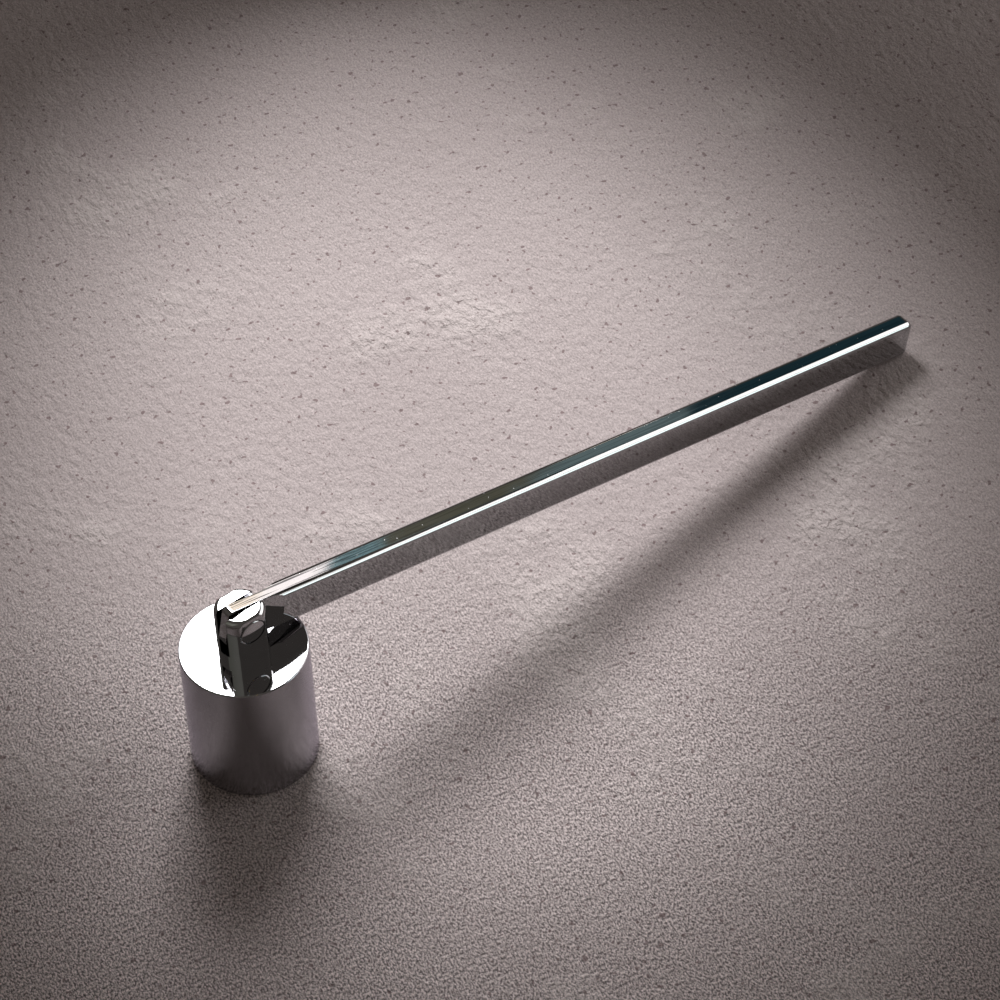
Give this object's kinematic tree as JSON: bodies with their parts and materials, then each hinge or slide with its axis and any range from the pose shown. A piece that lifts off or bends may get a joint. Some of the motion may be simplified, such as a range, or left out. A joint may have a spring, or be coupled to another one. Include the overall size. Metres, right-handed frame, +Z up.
{
  "type": "candle snuffer",
  "caption": "Polished candle snuffer: an upright cylindrical bell with a flat crown, a forked post on top, and a flat bar handle hinged on a pin through the fork.",
  "frame": {"origin": "centre of the bell's mouth, on the surface that the mouth stands on", "axes": "+Z up the bell's axis, towards the fork; +X along the floor towards the handle's far end; the handle swings in the XZ plane"},
  "size_m": [0.1807, 0.025, 0.0428],
  "materials": {
    "bell_chrome": "mirror polished chrome with a faint ripple from hand polishing",
    "polished_chrome": "mirror polished chrome",
    "handle_chrome": "polished chrome with fine lengthwise polishing lines",
    "screw_steel": "plain bright steel"
  },
  "bodies": {
    "bell_body": {"bell": "bell_chrome", "fork": "polished_chrome", "pivot_pin": "polished_chrome", "fixing_screw": "screw_steel", "lock_washer": "screw_steel"},
    "handle_body": {"handle": "handle_chrome"}
  },
  "joints": [
    {"name": "handle_hinge", "type": "hinge", "parent": "bell_body", "child": "handle_body", "pos_m": [0, 0, 0.038], "axis": [0, -1, 0], "range_deg": [-4.4, 207.4]}
  ]
}
